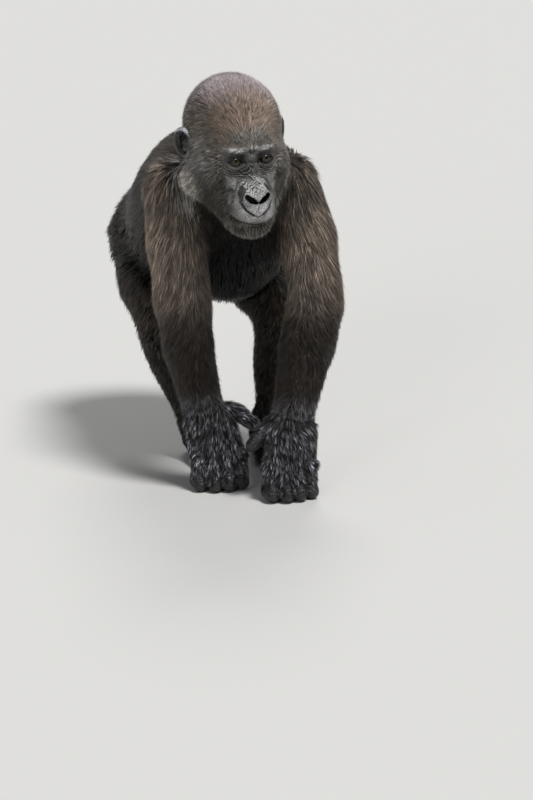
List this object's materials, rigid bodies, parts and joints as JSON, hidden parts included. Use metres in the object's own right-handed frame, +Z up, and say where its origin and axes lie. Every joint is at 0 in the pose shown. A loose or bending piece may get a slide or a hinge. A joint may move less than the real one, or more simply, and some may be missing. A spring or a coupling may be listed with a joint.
{
  "type": "young western lowland gorilla",
  "caption": "Young western lowland gorilla standing on its knuckles and soles, head lowered and turned, as a still, life-size model with a shaggy dark coat.",
  "frame": {"origin": "on the floor, under the middle of the animal's bounding box", "axes": "+Z up; the animal faces -Y; +X towards its left side"},
  "size_m": [0.2784, 0.5318, 0.5911],
  "materials": {
    "coat": "shaggy dark brown-black hair with paler brown-grey tips",
    "bare_skin": "dark slate grey skin, satin, finely creased",
    "eye": "wet, dark brown"
  },
  "bodies": {
    "root": {"trunk": "coat", "head": "coat", "neck": "coat", "eye_right": "eye", "eye_left": "eye", "ear_right": "bare_skin", "ear_left": "bare_skin", "upper_arm_right": "coat", "upper_arm_left": "coat", "forearm_right": "coat", "forearm_left": "coat", "hand_right": "bare_skin", "hand_left": "bare_skin", "thigh_right": "coat", "thigh_left": "coat", "shank_right": "coat", "shank_left": "coat", "foot_right": "bare_skin", "foot_left": "bare_skin"}
  },
  "joints": []
}
